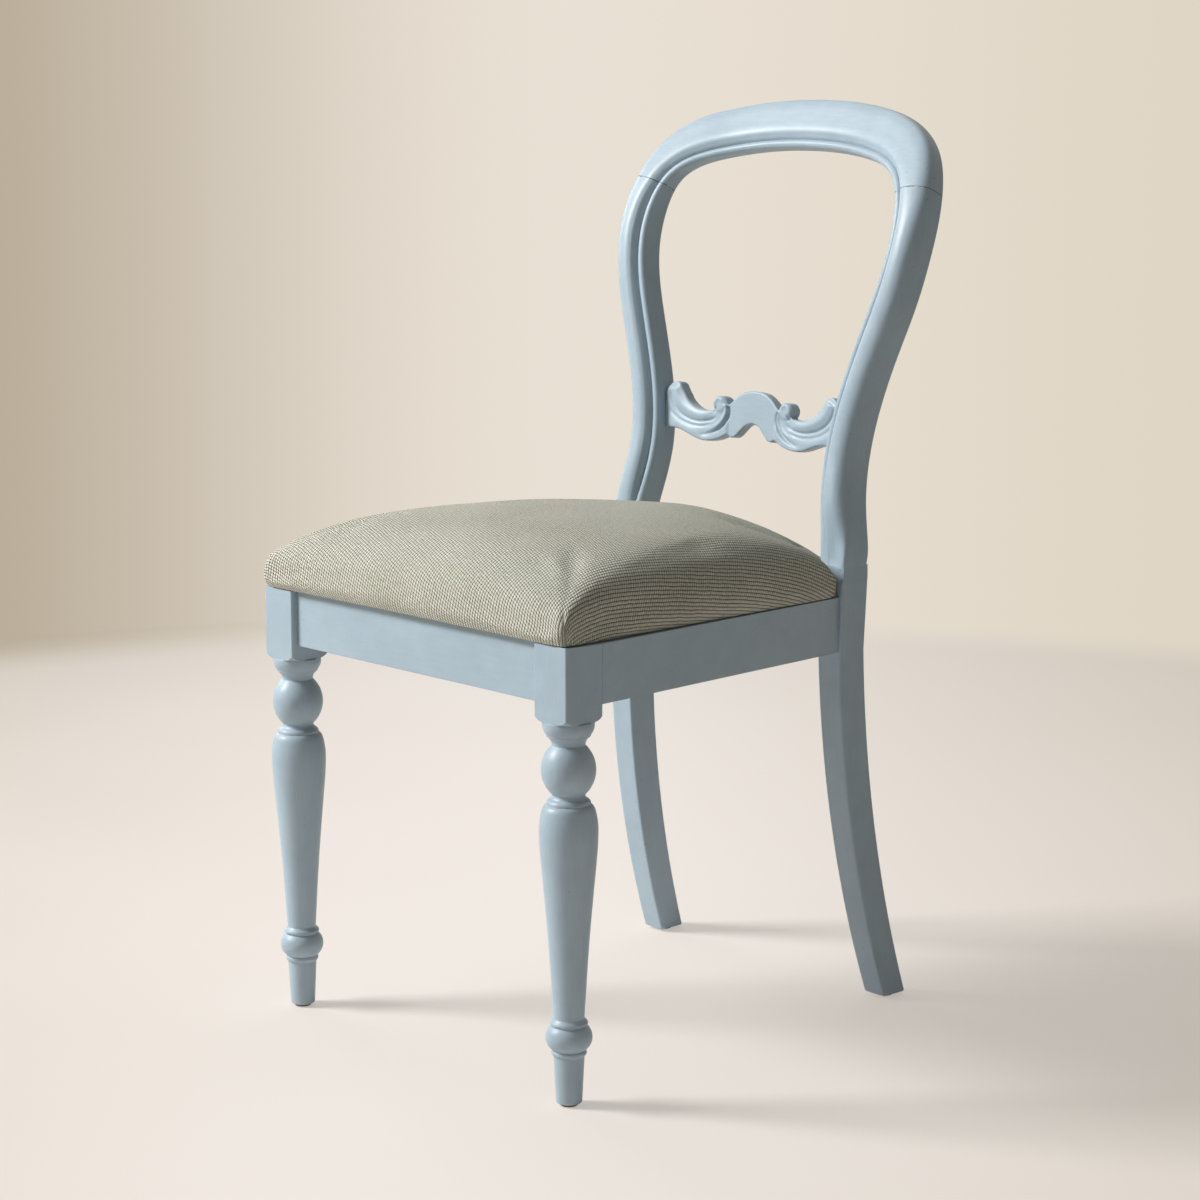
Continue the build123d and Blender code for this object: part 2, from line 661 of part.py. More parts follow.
def carved_tenon(clearance=0.0):
    """Right stub tenon of the carved rail, or the mortise it enters."""
    c = clearance
    reach = Box(tenon_length + 20 + 2 * c, tenon_thickness + 2 * c, tenon_height + 2 * c)
    y = carved_thickness / 2 + 0.5
    tenon_x = waist_half + (belly_half - waist_half) * 0.16 + tenon_length / 2 - 10
    level = carved_height + tenon_level
    return Pos(0, carved_front, carved_height) * (Rot(-carved_rake, 0, 0) * (
        Pos(tenon_x, y, level - carved_height) * reach))


# ---------------------------------------------------------------- joinery places
def front_joint_dowels():
    """Centres and directions of the dowels between the right front leg and its rails."""
    y_front = block_front + rail_setback + rail_thickness / 2
    x_side = (side_front.X + side_inner(half_block)) / 2
    front = [((leg_x - half_block, y_front, seat_level(y_front) - d), (1, 0, 0)) for d in cross_dowel_levels]
    side = [((x_side, half_block, seat_level(half_block) - d), (0, 1, 0)) for d in side_dowel_levels]
    return front, side


def rear_joint_dowels():
    """Centres and directions of the dowels between the right back post and its rails."""
    x_side = (side_rear.X + side_inner(post_front)) / 2
    y_rear = (rear_rail_front + rear_rail_back) / 2
    side = [((x_side, post_front, seat_level(post_front) - d), (0, 1, 0)) for d in side_dowel_levels]
    rear = [((post_inner, y_rear, seat_level(y_rear) - d), (1, 0, 0)) for d in cross_dowel_levels]
    return side, rear


def crest_joint_dowels():
    """Centres and directions of the dowels across the right seam."""
    centre_line = []
    for share in (0.33, 0.68):
        across = seam_across * (section_sizes(seam_height)[0] * share)
        centre = seam_point + across + Vector(0, -seam_forward.Y, 0) * crest_dowel_setback
        lift = (seam_point - centre).dot(seam_normal)
        centre_line.append((centre + seam_normal * lift, seam_normal))
    return centre_line


parts = {}

front_dowels, side_front_dowels = front_joint_dowels()
side_rear_dowels, rear_dowels = rear_joint_dowels()
crest_dowels = crest_joint_dowels()
corner_screws = block_screws()
pad_screws = seat_screws()

# Frame members on the right, before their holes
leg = front_leg()
frame = balloon_frame()
below_seam = Plane(origin=seam_point - seam_normal * (seam_gap / 2), z_dir=seam_normal)
stile = split(frame, bisect_by=below_seam, keep=Keep.BOTTOM)
stile = [s for s in stile.solids() if s.center().X > 0 and s.center().Z < seam_height][0]
crest = split(frame, bisect_by=seam_plane, keep=Keep.TOP)
crest = split(crest, bisect_by=left_seam_plane, keep=Keep.TOP)
post = sabre_leg() + stile
front_rail, side_rail, rear_rail = make_front_rail(), make_side_rail(), make_rear_rail()
front_block = prism(front_corner_plan(), cut_low, cut_high) & rail_band(block_drop, block_height)
rear_block = prism(rear_corner_plan(), cut_low, cut_high) & rail_band(block_drop, block_height)
carved = carved_blank() - post - mirror(post, about=Plane.YZ)
carved = sorted(carved.solids(), key=lambda s: s.volume)[-1]
carved = Part(carved.wrapped)
tenon_shape = carved_tenon()
carved = carved + tenon_shape + mirror(tenon_shape, about=Plane.YZ)
post = post - carved_tenon(tenon_clearance)

# Holes
for centre, way in front_dowels:
    leg -= dowel_hole(centre, way)
    for hole in both(dowel_hole(centre, way)):
        front_rail -= hole
for centre, way in side_front_dowels:
    leg -= dowel_hole(centre, way)
    side_rail -= dowel_hole(centre, way)
for centre, way in side_rear_dowels:
    post -= dowel_hole(centre, way, 28)
    side_rail -= dowel_hole(centre, way, 28)
for centre, way in rear_dowels:
    post -= dowel_hole(centre, way, 28)
    for hole in both(dowel_hole(centre, way, 28)):
        rear_rail -= hole
for centre, way in crest_dowels:
    post -= dowel_hole(centre, way, crest_dowel_length)
    for hole in both(dowel_hole(centre, way, crest_dowel_length)):
        crest -= hole
for head, way in corner_screws:
    hole = screw_hole(head, way, block_screw_length)
    front_block, rear_block, side_rail = front_block - hole, rear_block - hole, side_rail - hole
    for h in both(hole):
        front_rail, rear_rail = front_rail - h, rear_rail - h

board = seat_slab(fabric + pad_clearance, fabric, fabric + board_thickness)
for head, way in pad_screws:
    hole = screw_hole(head, way, seat_screw_length)
    front_block, rear_block = front_block - hole, rear_block - hole
    for h in both(hole):
        board -= h

# Glides under the feet
foot_spots = [Vector(leg_x, 0, 0), Vector(foot_inner + foot_width / 2, foot_front + foot_depth / 2, 0)]
glides, glide_pins = [], []
for spot in foot_spots:
    disc = Cylinder(glide_radius, glide_height, align=(Align.CENTER, Align.CENTER, Align.MIN))
    disc = chamfer(disc.edges().sort_by(Axis.Z)[0], 0.8)
    pin = Cylinder(glide_pin_radius, glide_pin_length, align=(Align.CENTER, Align.CENTER, Align.MIN))
    glides += both(Pos(*spot) * (disc + Pos(0, 0, 1) * pin))
    glide_pins.append(Pos(*spot) * Cylinder(
        glide_pin_radius + 0.1, glide_pin_length + 2, align=(Align.CENTER, Align.CENTER, Align.MIN)))
leg -= glide_pins[0]
post -= glide_pins[1]

# Seat pad
cover = crowned_pad(0.0) - crowned_pad(fabric) - seat_slab(fabric_lip, -1, fabric + 2, notched=False)
foam = split(crowned_pad(fabric + pad_clearance), keep=Keep.TOP,
             bisect_by=seat_plane.offset(fabric + board_thickness))
lining = seat_slab(lining_inset, -lining_thickness, 0.0, lining_corner, notched=False)
for head, way in pad_screws:
    hole = screw_hole(head, way, seat_screw_length)
    for h in both(hole):
        cover, lining = cover - h, lining - h
staples, staple_holes = [], []
for x, v, turn in staple_places():
    place = seat_plane * (Pos(x, v, -lining_thickness) * Rot(0, 0, turn))
    staples.append(place * staple())
    staple_holes += [place * hole for hole in staple(0.1)]
board, cover, lining = board - staple_holes, cover - staple_holes, lining - staple_holes

# Named pieces
for name, solid in (("front_leg", leg), ("back_post", post), ("side_seat_rail", side_rail),
                    ("front_corner_block", front_block), ("rear_corner_block", rear_block)):
    right, left = both(solid)
    parts[name + "_right"], parts[name + "_left"] = right, left
parts["crest_rail"] = crest
parts["carved_mid_rail"] = carved
parts["front_seat_rail"] = front_rail
parts["rear_seat_rail"] = rear_rail
parts["seat_board"] = board
parts["seat_foam"] = foam
parts["seat_cover"] = cover
parts["underside_lining"] = lining


def group(solids):
    """Separate solids that share one node."""
    return Compound(children=[s for item in solids for s in item.solids()])


def pairs(spots, make):
    """A fastener at each spot, on the right and on the left."""
    return group([one for spot in spots for one in both(make(*spot))])


parts["front_rail_dowels"] = pairs(front_dowels, dowel)
parts["side_rail_front_dowels"] = pairs(side_front_dowels, dowel)
parts["side_rail_rear_dowels"] = pairs(side_rear_dowels, lambda c, w: dowel(c, w, 26))
parts["rear_rail_dowels"] = pairs(rear_dowels, lambda c, w: dowel(c, w, 26))
parts["crest_dowels"] = pairs(crest_dowels, lambda c, w: dowel(c, w, crest_dowel_length))
parts["corner_block_screws"] = pairs(corner_screws, lambda c, w: wood_screw(c, w, block_screw_length))
parts["seat_screws"] = pairs(pad_screws, lambda c, w: wood_screw(c, w, seat_screw_length))
parts["cover_staples"] = group(staples)
parts["foot_glides"] = group(glides)

# The origin goes to the middle of the footprint of the whole chair, on the floor
reach = [point.Y for piece in parts.values() for point in piece.tessellate(0.2)[0]]
shift = Pos(0, -(min(reach) + max(reach)) / 2, 0)
os.makedirs("parts", exist_ok=True)
for name, solid in parts.items():
    export_step(shift * solid, "parts/" + name + ".step")
print("shift", -shift.position.Y, "pieces", len(parts))
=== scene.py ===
import math

import bmesh
import bpy
import numpy as np
from mathutils import Matrix, Vector
from mathutils.kdtree import KDTree


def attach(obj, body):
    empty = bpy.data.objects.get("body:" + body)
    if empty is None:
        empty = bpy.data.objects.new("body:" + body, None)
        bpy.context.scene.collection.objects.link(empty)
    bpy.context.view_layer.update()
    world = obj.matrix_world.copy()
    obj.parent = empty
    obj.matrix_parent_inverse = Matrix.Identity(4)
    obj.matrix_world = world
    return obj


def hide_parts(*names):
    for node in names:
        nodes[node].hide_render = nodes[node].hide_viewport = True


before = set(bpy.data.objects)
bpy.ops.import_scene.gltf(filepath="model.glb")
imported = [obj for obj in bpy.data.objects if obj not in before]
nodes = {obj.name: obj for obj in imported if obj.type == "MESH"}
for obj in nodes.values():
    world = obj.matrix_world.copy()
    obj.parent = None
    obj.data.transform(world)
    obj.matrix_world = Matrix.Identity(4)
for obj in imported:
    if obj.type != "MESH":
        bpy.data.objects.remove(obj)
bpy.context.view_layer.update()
print("frame loaded,", len(nodes), "nodes")


# shader maths: a Flow is one value on its way through a material

class Flow:
    def __init__(self, finish, socket):
        self.finish, self.socket = finish, socket

    def sum(self, operation, first, second=0.0):
        return self.finish.node("ShaderNodeMath", {"operation": operation}, {0: first, 1: second})

    def __add__(self, other):
        return self.sum("ADD", self, other)

    def __sub__(self, other):
        return self.sum("SUBTRACT", self, other)

    def __rsub__(self, other):
        return self.sum("SUBTRACT", other, self)

    def __mul__(self, other):
        return self.sum("MULTIPLY", self, other)

    def __pow__(self, other):
        return self.sum("POWER", self, other)

    def __abs__(self):
        return self.sum("ABSOLUTE", self)

    __radd__ = __add__
    __rmul__ = __mul__

    def most(self, other):
        return self.sum("MAXIMUM", self, other)

    def sine(self):
        return self.sum("SINE", self)

    def step(self, low, high):  # smooth step from 0 at low to 1 at high
        return self.finish.node("ShaderNodeMapRange", {"interpolation_type": "SMOOTHSTEP"},
                                {"Value": self, "From Min": low, "From Max": high})


class Finish:
    def __init__(self, name, **fixed):  # fixed: plain numbers and colours on the shader's own sockets
        self.material = bpy.data.materials.new(name)
        self.material.use_nodes = True
        self.tree = self.material.node_tree
        self.shader = self.tree.nodes["Principled BSDF"]
        for socket, value in fixed.items():
            self.shader.inputs[socket.replace("_", " ")].default_value = value

    def node(self, kind, settings=None, inputs=None, output=0):
        made = self.tree.nodes.new(kind)
        for key, value in (settings or {}).items():
            if key == "stops":
                while len(made.color_ramp.elements) < len(value):
                    made.color_ramp.elements.new(0.5)
                for element, (position, colour) in zip(made.color_ramp.elements, value):
                    element.position, element.color = position, colour
            else:
                setattr(made, key, value)
        for key, value in (inputs or {}).items():
            if isinstance(value, Flow):
                self.tree.links.new(value.socket, made.inputs[key])
            else:
                made.inputs[key].default_value = value
        return Flow(self, made.outputs[output])

    def place(self, stretch=(1, 1, 1), turn=(0, 0, 0)):  # place on the piece, in metres
        at = self.node("ShaderNodeTexCoord", output="Object")
        return self.node("ShaderNodeMapping", inputs={"Vector": at, "Scale": stretch, "Rotation": turn})

    def noise(self, at, scale, detail=3.0, roughness=0.55, distortion=0.0):
        return self.node("ShaderNodeTexNoise", inputs={
            "Vector": at, "Scale": scale, "Detail": detail,
            "Roughness": roughness, "Distortion": distortion})

    def blend(self, amount, first, second):  # of two colours
        made = self.tree.nodes.new("ShaderNodeMix")
        made.data_type = "RGBA"
        for index, value in ((0, amount), (6, first), (7, second)):
            if isinstance(value, Flow):
                self.tree.links.new(value.socket, made.inputs[index])
            else:
                made.inputs[index].default_value = value
        return Flow(self, made.outputs[2])

    def axes(self, at):
        made = self.tree.nodes.new("ShaderNodeSeparateXYZ")
        self.tree.links.new(at.socket, made.inputs[0])
        return [Flow(self, out) for out in made.outputs]

    def bump(self, height, distance, strength=1.0, over=None):
        inputs = {"Height": height, "Distance": distance, "Strength": strength}
        if over is not None:
            inputs["Normal"] = over
        return self.node("ShaderNodeBump", inputs=inputs)

    def feed(self, **links):
        for socket, value in links.items():
            self.tree.links.new(value.socket, self.shader.inputs[socket.replace("_", " ")])
        return self.material


# finishes

paintLook = {
    "colour": (0.392, 0.505, 0.592, 1),      # pale blue-grey
    "deep": (0.347, 0.452, 0.535, 1),
    "chip": (0.62, 0.66, 0.66, 1),           # thin or rubbed paint
    "dirt": (0.17, 0.18, 0.17, 1),
    "roughness": 0.38,
    "softEdge": 0.0011,                      # how far edges are rounded by hand sanding
    "brushed": (0.53, 0.63, 0.69, 1),        # along the brush marks
    "seam": (-0.1406, 0.4389, 0.8875, 0.75316),   # plane of the right glue line between post and crest
    "seamWidth": (0.00018, 0.00062),
    "seamDark": (0.085, 0.10, 0.11, 1),
    "chipReach": (0.002, 0.009),             # from the glue line
    "relief": 0.00009,                       # height of the brush marks
}


def paintedWood(name, stretch, streak=1.0):  # stretch is small along the grain
    finish = Finish(name, IOR=1.46, Coat_Weight=0.12, Coat_Roughness=0.28)
    at, grain = finish.place(), finish.place(stretch)
    brushed = finish.noise(grain, 620, 3, 0.6)
    broad = finish.noise(at, 7.5, 3, 0.6)
    cloudy = finish.noise(at, 42, 4, 0.6)
    tone = (broad * 0.55 + cloudy * 0.45).step(0.34, 0.68)
    colour = finish.blend(tone, paintLook["deep"], paintLook["colour"])
    colour = finish.blend(brushed.step(0.30, 0.72) * (0.16 * streak), colour, paintLook["brushed"])
    specks = finish.noise(at, 330, 1, 0.4).step(0.735, 0.765) * finish.noise(at, 23, 1).step(0.56, 0.66)
    colour = finish.blend(specks * 0.55, colour, paintLook["dirt"])
    rubbed = finish.noise(at, 210, 2, 0.7).step(0.70, 0.76) * finish.noise(at, 15, 1).step(0.58, 0.68)
    colour = finish.blend(rubbed * 0.5, colour, paintLook["chip"])
    x, y, z = finish.axes(at)
    acrossX, alongY, alongZ, offset = paintLook["seam"]
    toSeam = abs(abs(x) * acrossX + y * alongY + z * alongZ - offset)
    seam = (1 - toSeam.step(*paintLook["seamWidth"])) * finish.noise(at, 160, 2).step(0.30, 0.55)
    colour = finish.blend(seam * 0.85, colour, paintLook["seamDark"])
    chips = (1 - toSeam.step(*paintLook["chipReach"])) * finish.noise(at, 300, 2, 0.6).step(0.66, 0.70)
    colour = finish.blend(chips * 0.6, colour, paintLook["dirt"])
    roughness = paintLook["roughness"] + brushed * 0.10 + cloudy * 0.06
    height = brushed * (0.55 * streak) + finish.noise(at, 95, 3) * 0.9 + rubbed * -0.5 - seam * 3 - chips
    edge = finish.node("ShaderNodeBevel", {"samples": 4}, {"Radius": paintLook["softEdge"]})
    return finish.feed(Base_Color=colour, Roughness=roughness,
                       Normal=finish.bump(height, paintLook["relief"], 0.55, edge))


woodLook = {
    "light": (0.60, 0.42, 0.25, 1), "dark": (0.47, 0.30, 0.16, 1), "pores": (0.20, 0.12, 0.06, 1),
    "plyLight": (0.62, 0.45, 0.27, 1), "plyDark": (0.42, 0.27, 0.14, 1),
    "plyGrain": (0.30, 0.18, 0.09, 1),
    "plyPitch": 0.0031,                      # two layers of the board
}


def bareWood(name, stretch):
    finish = Finish(name, IOR=1.45)
    at = finish.place(stretch)
    rings, pores = finish.noise(at, 130, 5, 0.6, 0.6), finish.noise(at, 900, 2, 0.5)
    colour = finish.blend(rings.step(0.3, 0.7), woodLook["dark"], woodLook["light"])
    colour = finish.blend(pores.step(0.55, 0.7) * 0.35, colour, woodLook["pores"])
    return finish.feed(Base_Color=colour, Roughness=0.55 + rings * 0.15,
                       Normal=finish.bump(pores, 0.0001, 0.5))


def plyBoard():
    finish = Finish("plyBoard", IOR=1.45)
    z = finish.axes(finish.place())[2]
    layers = (z * (2 * math.pi / woodLook["plyPitch"])).sine().step(-0.25, 0.25)
    grain = finish.noise(finish.place((1, 0.05, 1)), 210, 4)
    colour = finish.blend(layers, woodLook["plyDark"], woodLook["plyLight"])
    colour = finish.blend(grain.step(0.4, 0.7) * 0.4, colour, woodLook["plyGrain"])
    return finish.feed(Base_Color=colour, Roughness=0.6 + grain * 0.1,
                       Normal=finish.bump(grain, 0.0001, 0.6))


weave = {
    "rib": 0.0035,                          # from one rib to the next, across the seat
    "pick": 0.0029,                         # from one pick to the next, along a rib
    "cream": (0.78, 0.775, 0.69, 1),
    "sage": (0.49, 0.495, 0.40, 1),
    "gap": (0.055, 0.050, 0.027, 1),        # painted shade in the hollows between the threads
    "wander": (0.0016, 0.0009),             # of the ribs and of the picks
    "relief": 0.0009,
}


def seatCloth():
    finish = Finish("seatCloth", IOR=1.4, Sheen_Weight=0.03, Sheen_Roughness=0.45)
    uv = finish.node("ShaderNodeUVMap", {"uv_map": "cloth"})
    wobble = finish.noise(uv, 70, 2.0, 0.5) - 0.5
    u, v, _ = finish.axes(uv)
    u, v = u + wobble * weave["wander"][0], v + wobble * weave["wander"][1]
    across = u * (math.pi / weave["rib"])
    along = v * (math.pi / weave["pick"]) + u * (math.pi / (2 * weave["rib"]))
    ribs, picks = abs(across.sine()), abs(along.sine())     # 0 between the ribs and between the picks
    thread = (ribs ** 0.6) * (0.12 + 0.88 * (picks ** 0.6))
    fuzz, slub, faded = (finish.noise(uv, scale, detail, 0.5)
                         for scale, detail in ((2300, 2.0), (320, 3.0), (9, 2.0)))
    mottled = (slub * 0.6 + fuzz * 0.4 + faded * 0.25).step(0.42, 0.78)
    colour = finish.blend(mottled, weave["sage"], weave["cream"])
    # painted shade: the hollows between the threads are darkened with the gap colour
    colour = finish.blend((1.0 - thread).step(0.34, 0.86), colour, weave["gap"])
    height = thread + fuzz * 0.25 + slub * 0.2
    return finish.feed(Base_Color=colour, Roughness=0.86 + fuzz * 0.1,
                       Normal=finish.bump(height, weave["relief"], 0.9))


def plainCloth(name, colour, pitch):
    finish = Finish(name, IOR=1.4, Roughness=0.9)
    at, turns = finish.place(), 2 * math.pi / pitch
    x, y, _ = finish.axes(at)
    threads, fibre = (x * turns).sine() * (y * turns).sine(), finish.noise(at, 900, 2)
    darker = tuple(c * 0.6 for c in colour[:3]) + (1,)
    shade = finish.blend(threads.step(-0.8, 0.8) * 0.5 + fibre * 0.5, darker, colour)
    return finish.feed(Base_Color=shade, Normal=finish.bump(threads + fibre, 0.0002, 0.6))


def foamRubber():
    finish = Finish("foamRubber", IOR=1.3)
    cells = finish.noise(finish.place(), 700, 4)
    colour = finish.blend(cells, (0.60, 0.52, 0.30, 1), (0.84, 0.78, 0.56, 1))
    return finish.feed(Base_Color=colour, Roughness=0.9 + cells * 0.05,
                       Normal=finish.bump(cells, 0.0006, 0.8))


def zincSteel():
    finish = Finish("zincSteel", Metallic=1.0)
    at = finish.place()
    smear, scratch = finish.noise(at, 120, 3), finish.noise(finish.place((1, 1, 0.1)), 1800, 2)
    colour = finish.blend(smear, (0.42, 0.42, 0.40, 1), (0.68, 0.67, 0.63, 1))
    return finish.feed(Base_Color=colour, Roughness=0.30 + scratch * 0.22,
                       Normal=finish.bump(scratch, 0.00004, 0.5))


def brownGlide():
    finish = Finish("brownGlide", IOR=1.5)
    at = finish.place()
    worn, grit = finish.noise(at, 260, 3), finish.noise(at, 1300, 2)
    colour = finish.blend(worn, (0.10, 0.055, 0.03, 1), (0.24, 0.15, 0.085, 1))
    return finish.feed(Base_Color=colour, Roughness=0.45 + grit * 0.2,
                       Normal=finish.bump(grit, 0.0001, 0.5))


paints = {
    "upright": paintedWood("paintUpright", (1, 1, 0.05)),
    "across": paintedWood("paintAcross", (0.05, 1, 1)),
    "deep": paintedWood("paintDeep", (1, 0.05, 1)),
    "crest": paintedWood("paintCrest", (0.06, 0.7, 0.7), 1.3),
    "carved": paintedWood("paintCarved", (0.07, 1, 1), 1.2),
}
beech = bareWood("bareBeech", (1, 1, 0.08))
beechAcross = bareWood("bareBeechAcross", (0.08, 1, 1))
steel, cloth = zincSteel(), seatCloth()
nodeFinish = {  # by the node's name, or by the name that a left and a right one share
    "front_leg": paints["upright"], "back_post": paints["upright"],
    "crest_rail": paints["crest"], "carved_mid_rail": paints["carved"],
    "front_seat_rail": paints["across"], "rear_seat_rail": paints["across"],
    "side_seat_rail": paints["deep"],
    "front_corner_block": beech, "rear_corner_block": beech, "crest_dowels": beech,
    "front_rail_dowels": beechAcross, "rear_rail_dowels": beechAcross,
    "side_rail_front_dowels": beechAcross, "side_rail_rear_dowels": beechAcross,
    "corner_block_screws": steel, "seat_screws": steel, "cover_staples": steel,
    "seat_board": plyBoard(), "seat_foam": foamRubber(), "seat_cover": cloth, "foot_glides": brownGlide(),
    "underside_lining": plainCloth("blackLining", (0.045, 0.045, 0.045, 1), 0.0011),
}
for nodeName, piece in nodes.items():
    finish = nodeFinish.get(nodeName) or nodeFinish[nodeName.rsplit("_", 1)[0]]
    if not piece.material_slots:
        piece.data.materials.append(finish)
    for slotOfPiece in piece.material_slots:
        slotOfPiece.material = finish
print("finishes made")


def shadeSmooth(piece):
    for face in piece.data.polygons:
        face.use_smooth = True


def newPiece(name, bm, material):  # object at the origin, riding on the chair
    mesh = bpy.data.meshes.new(name)
    bm.to_mesh(mesh)
    bm.free()
    piece = bpy.data.objects.new(name, mesh)
    bpy.context.collection.objects.link(piece)
    mesh.materials.append(material)
    shadeSmooth(piece)
    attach(piece, "root")
    return piece


def applyModifiers(piece):
    bpy.context.view_layer.update()
    seen = piece.evaluated_get(bpy.context.evaluated_depsgraph_get())
    finished = bpy.data.meshes.new_from_object(seen)
    piece.modifiers.clear()
    old = piece.data
    piece.data = finished
    bpy.data.meshes.remove(old)


def points(mesh):
    flat = np.empty(len(mesh.vertices) * 3)
    mesh.vertices.foreach_get("co", flat)
    return flat.reshape(-1, 3)


def setPoints(mesh, places):
    mesh.vertices.foreach_set("co", places.reshape(-1))
    mesh.update()


# seat cushion, in metres from the front legs' line and up from the pitched seat

chairMiddle = 0.24182        # from the front legs' line to the middle of the chair

pad = {
    "halfWidth": 0.2196,     # across the bulge, at the front
    "taper": 0.1434,         # each side comes in by this share of the way back
    "front": -0.0262, "back": 0.3982, "crownAt": 0.1767,
    "railFront": -0.021, "railTop": 0.410, "pitch": 1.3,     # of the seat, in degrees
    "base": 0.0009, "bulge": 0.0135, "crown": 0.0640,        # heights
    "drawn": 0.0042,         # the lower edge is drawn in this far
    "corner": 0.012,         # radius of the front corners
    "postInner": 0.1303, "postFront": 0.3688, "postLean": 0.18,
    "postReach": 0.158,      # the pad rolls down to the posts over this distance
    "leanFrom": 0.02,        # height above which the rear leans in between the posts
    "frontRoll": (2.50, 0.348), "rearRoll": (3.64, 0.305),   # powers of superRoll
    "sideRoll": (2.11, 0.179), "postRoll": (1.78, 0.261),
    "rows": 72, "levels": 10, "notchRow": 63,
    "notchStep": 0.0003,     # between the rows on either side of the notch's edge
    "crowding": 2.6,         # of the rows towards the edges
    "voxel": 0.0060,         # of the copy that is blown up
    "cap": 0.0030,           # the most a point may swell
    "heldBelow": 0.005, "heldAtPosts": (0.004, 0.006),       # these parts don't swell
    "steps": 20, "pressure": 4.0, "mass": 0.3, "stretch": 18, "shear": 8, "bend": 1.2,
}


def seatLevel(y):
    return pad["railTop"] - (y - pad["railFront"]) * math.tan(math.radians(pad["pitch"]))


def halfAt(y):
    return pad["halfWidth"] - pad["taper"] * (y - pad["front"])


def superRoll(t, inner, outer):  # 1 in the middle, 0 at the rim, steep at the rim
    return (1 - np.clip(np.abs(t), 0, 1) ** inner) ** outer


def padTop(x, y):  # height of the cover above the rails
    half = halfAt(y)
    w = np.where(y < pad["crownAt"], (y - pad["crownAt"]) / (pad["crownAt"] - pad["front"]),
                 (y - pad["crownAt"]) / (pad["back"] - pad["crownAt"]))
    ends = superRoll(np.minimum(w, 0), *pad["frontRoll"]) * superRoll(np.maximum(w, 0), *pad["rearRoll"])
    toPost = np.hypot(np.maximum(0, pad["postInner"] - np.abs(x)), np.maximum(0, pad["postFront"] - y))
    post = superRoll(1 - np.minimum(1, toPost / pad["postReach"]), *pad["postRoll"])
    return pad["bulge"] + pad["crown"] * ends * superRoll(x / half, *pad["sideRoll"]) * post


def padShape(a, b, c):  # places on the pad of the points a, b, c of a cube, each from -1 to 1
    rows, notch, crowding = pad["rows"], pad["notchRow"], pad["crowding"]
    row = np.rint((b + 1) / 2 * rows)
    before, after = row / notch, (rows - row) / (rows - notch - 1)
    deep, narrow = pad["postFront"] - pad["front"], pad["back"] - pad["postFront"] - pad["notchStep"]
    y = np.where(row <= notch, pad["front"] + deep * before ** crowding,
                 pad["back"] - narrow * np.minimum(1, after) ** crowding)
    half = np.where(row <= notch, halfAt(y), pad["postInner"])
    u = np.sign(a) * (1 - (1 - np.abs(a)) ** crowding)
    x = u * half
    top = padTop(x, y)
    rise = (c + 1) / 2
    height = pad["base"] + (top - pad["base"]) * rise
    corner = pad["corner"]
    dx, dy = np.abs(x) - (half - corner), (pad["front"] + corner) - y   # round the front corners
    pull = np.where((dx > 0) & (dy > 0), np.maximum(dx, dy) / np.maximum(np.hypot(dx, dy), 1e-9), 1)
    x = np.where(pull < 1, np.sign(x) * (half - corner + dx * pull), x)
    y = np.where(pull < 1, pad["front"] + corner - dy * pull, y)
    inset = pad["drawn"] * (1 - np.sin(np.clip(height / pad["bulge"], 0, 1) * math.pi / 2))
    lean = np.where(row > notch, pad["postLean"] * np.maximum(0, height - pad["leanFrom"]) * np.abs(u), 0)
    x = x * (1 - (inset + lean) / half)
    middle = (pad["front"] + pad["back"]) / 2
    y = middle + (y - middle) * (1 - inset / (pad["back"] - middle))
    return np.stack([x, y - chairMiddle, seatLevel(y) + height], 1)


def cushionShell():
    bm = bmesh.new()
    bmesh.ops.create_cube(bm, size=2)
    for axis, cuts in ((2, pad["levels"] - 1), (0, pad["rows"] - 1), (1, pad["rows"] - 1)):
        along = [e for e in bm.edges if abs(e.verts[0].co[axis] - e.verts[1].co[axis]) > 0.01]
        bmesh.ops.subdivide_edges(bm, edges=along, cuts=cuts, use_grid_fill=True)
    bmesh.ops.recalc_face_normals(bm, faces=bm.faces[:])
    shell = newPiece("seatCushion", bm, cloth)
    cube = points(shell.data)
    setPoints(shell.data, padShape(*cube.T))
    return shell, cube


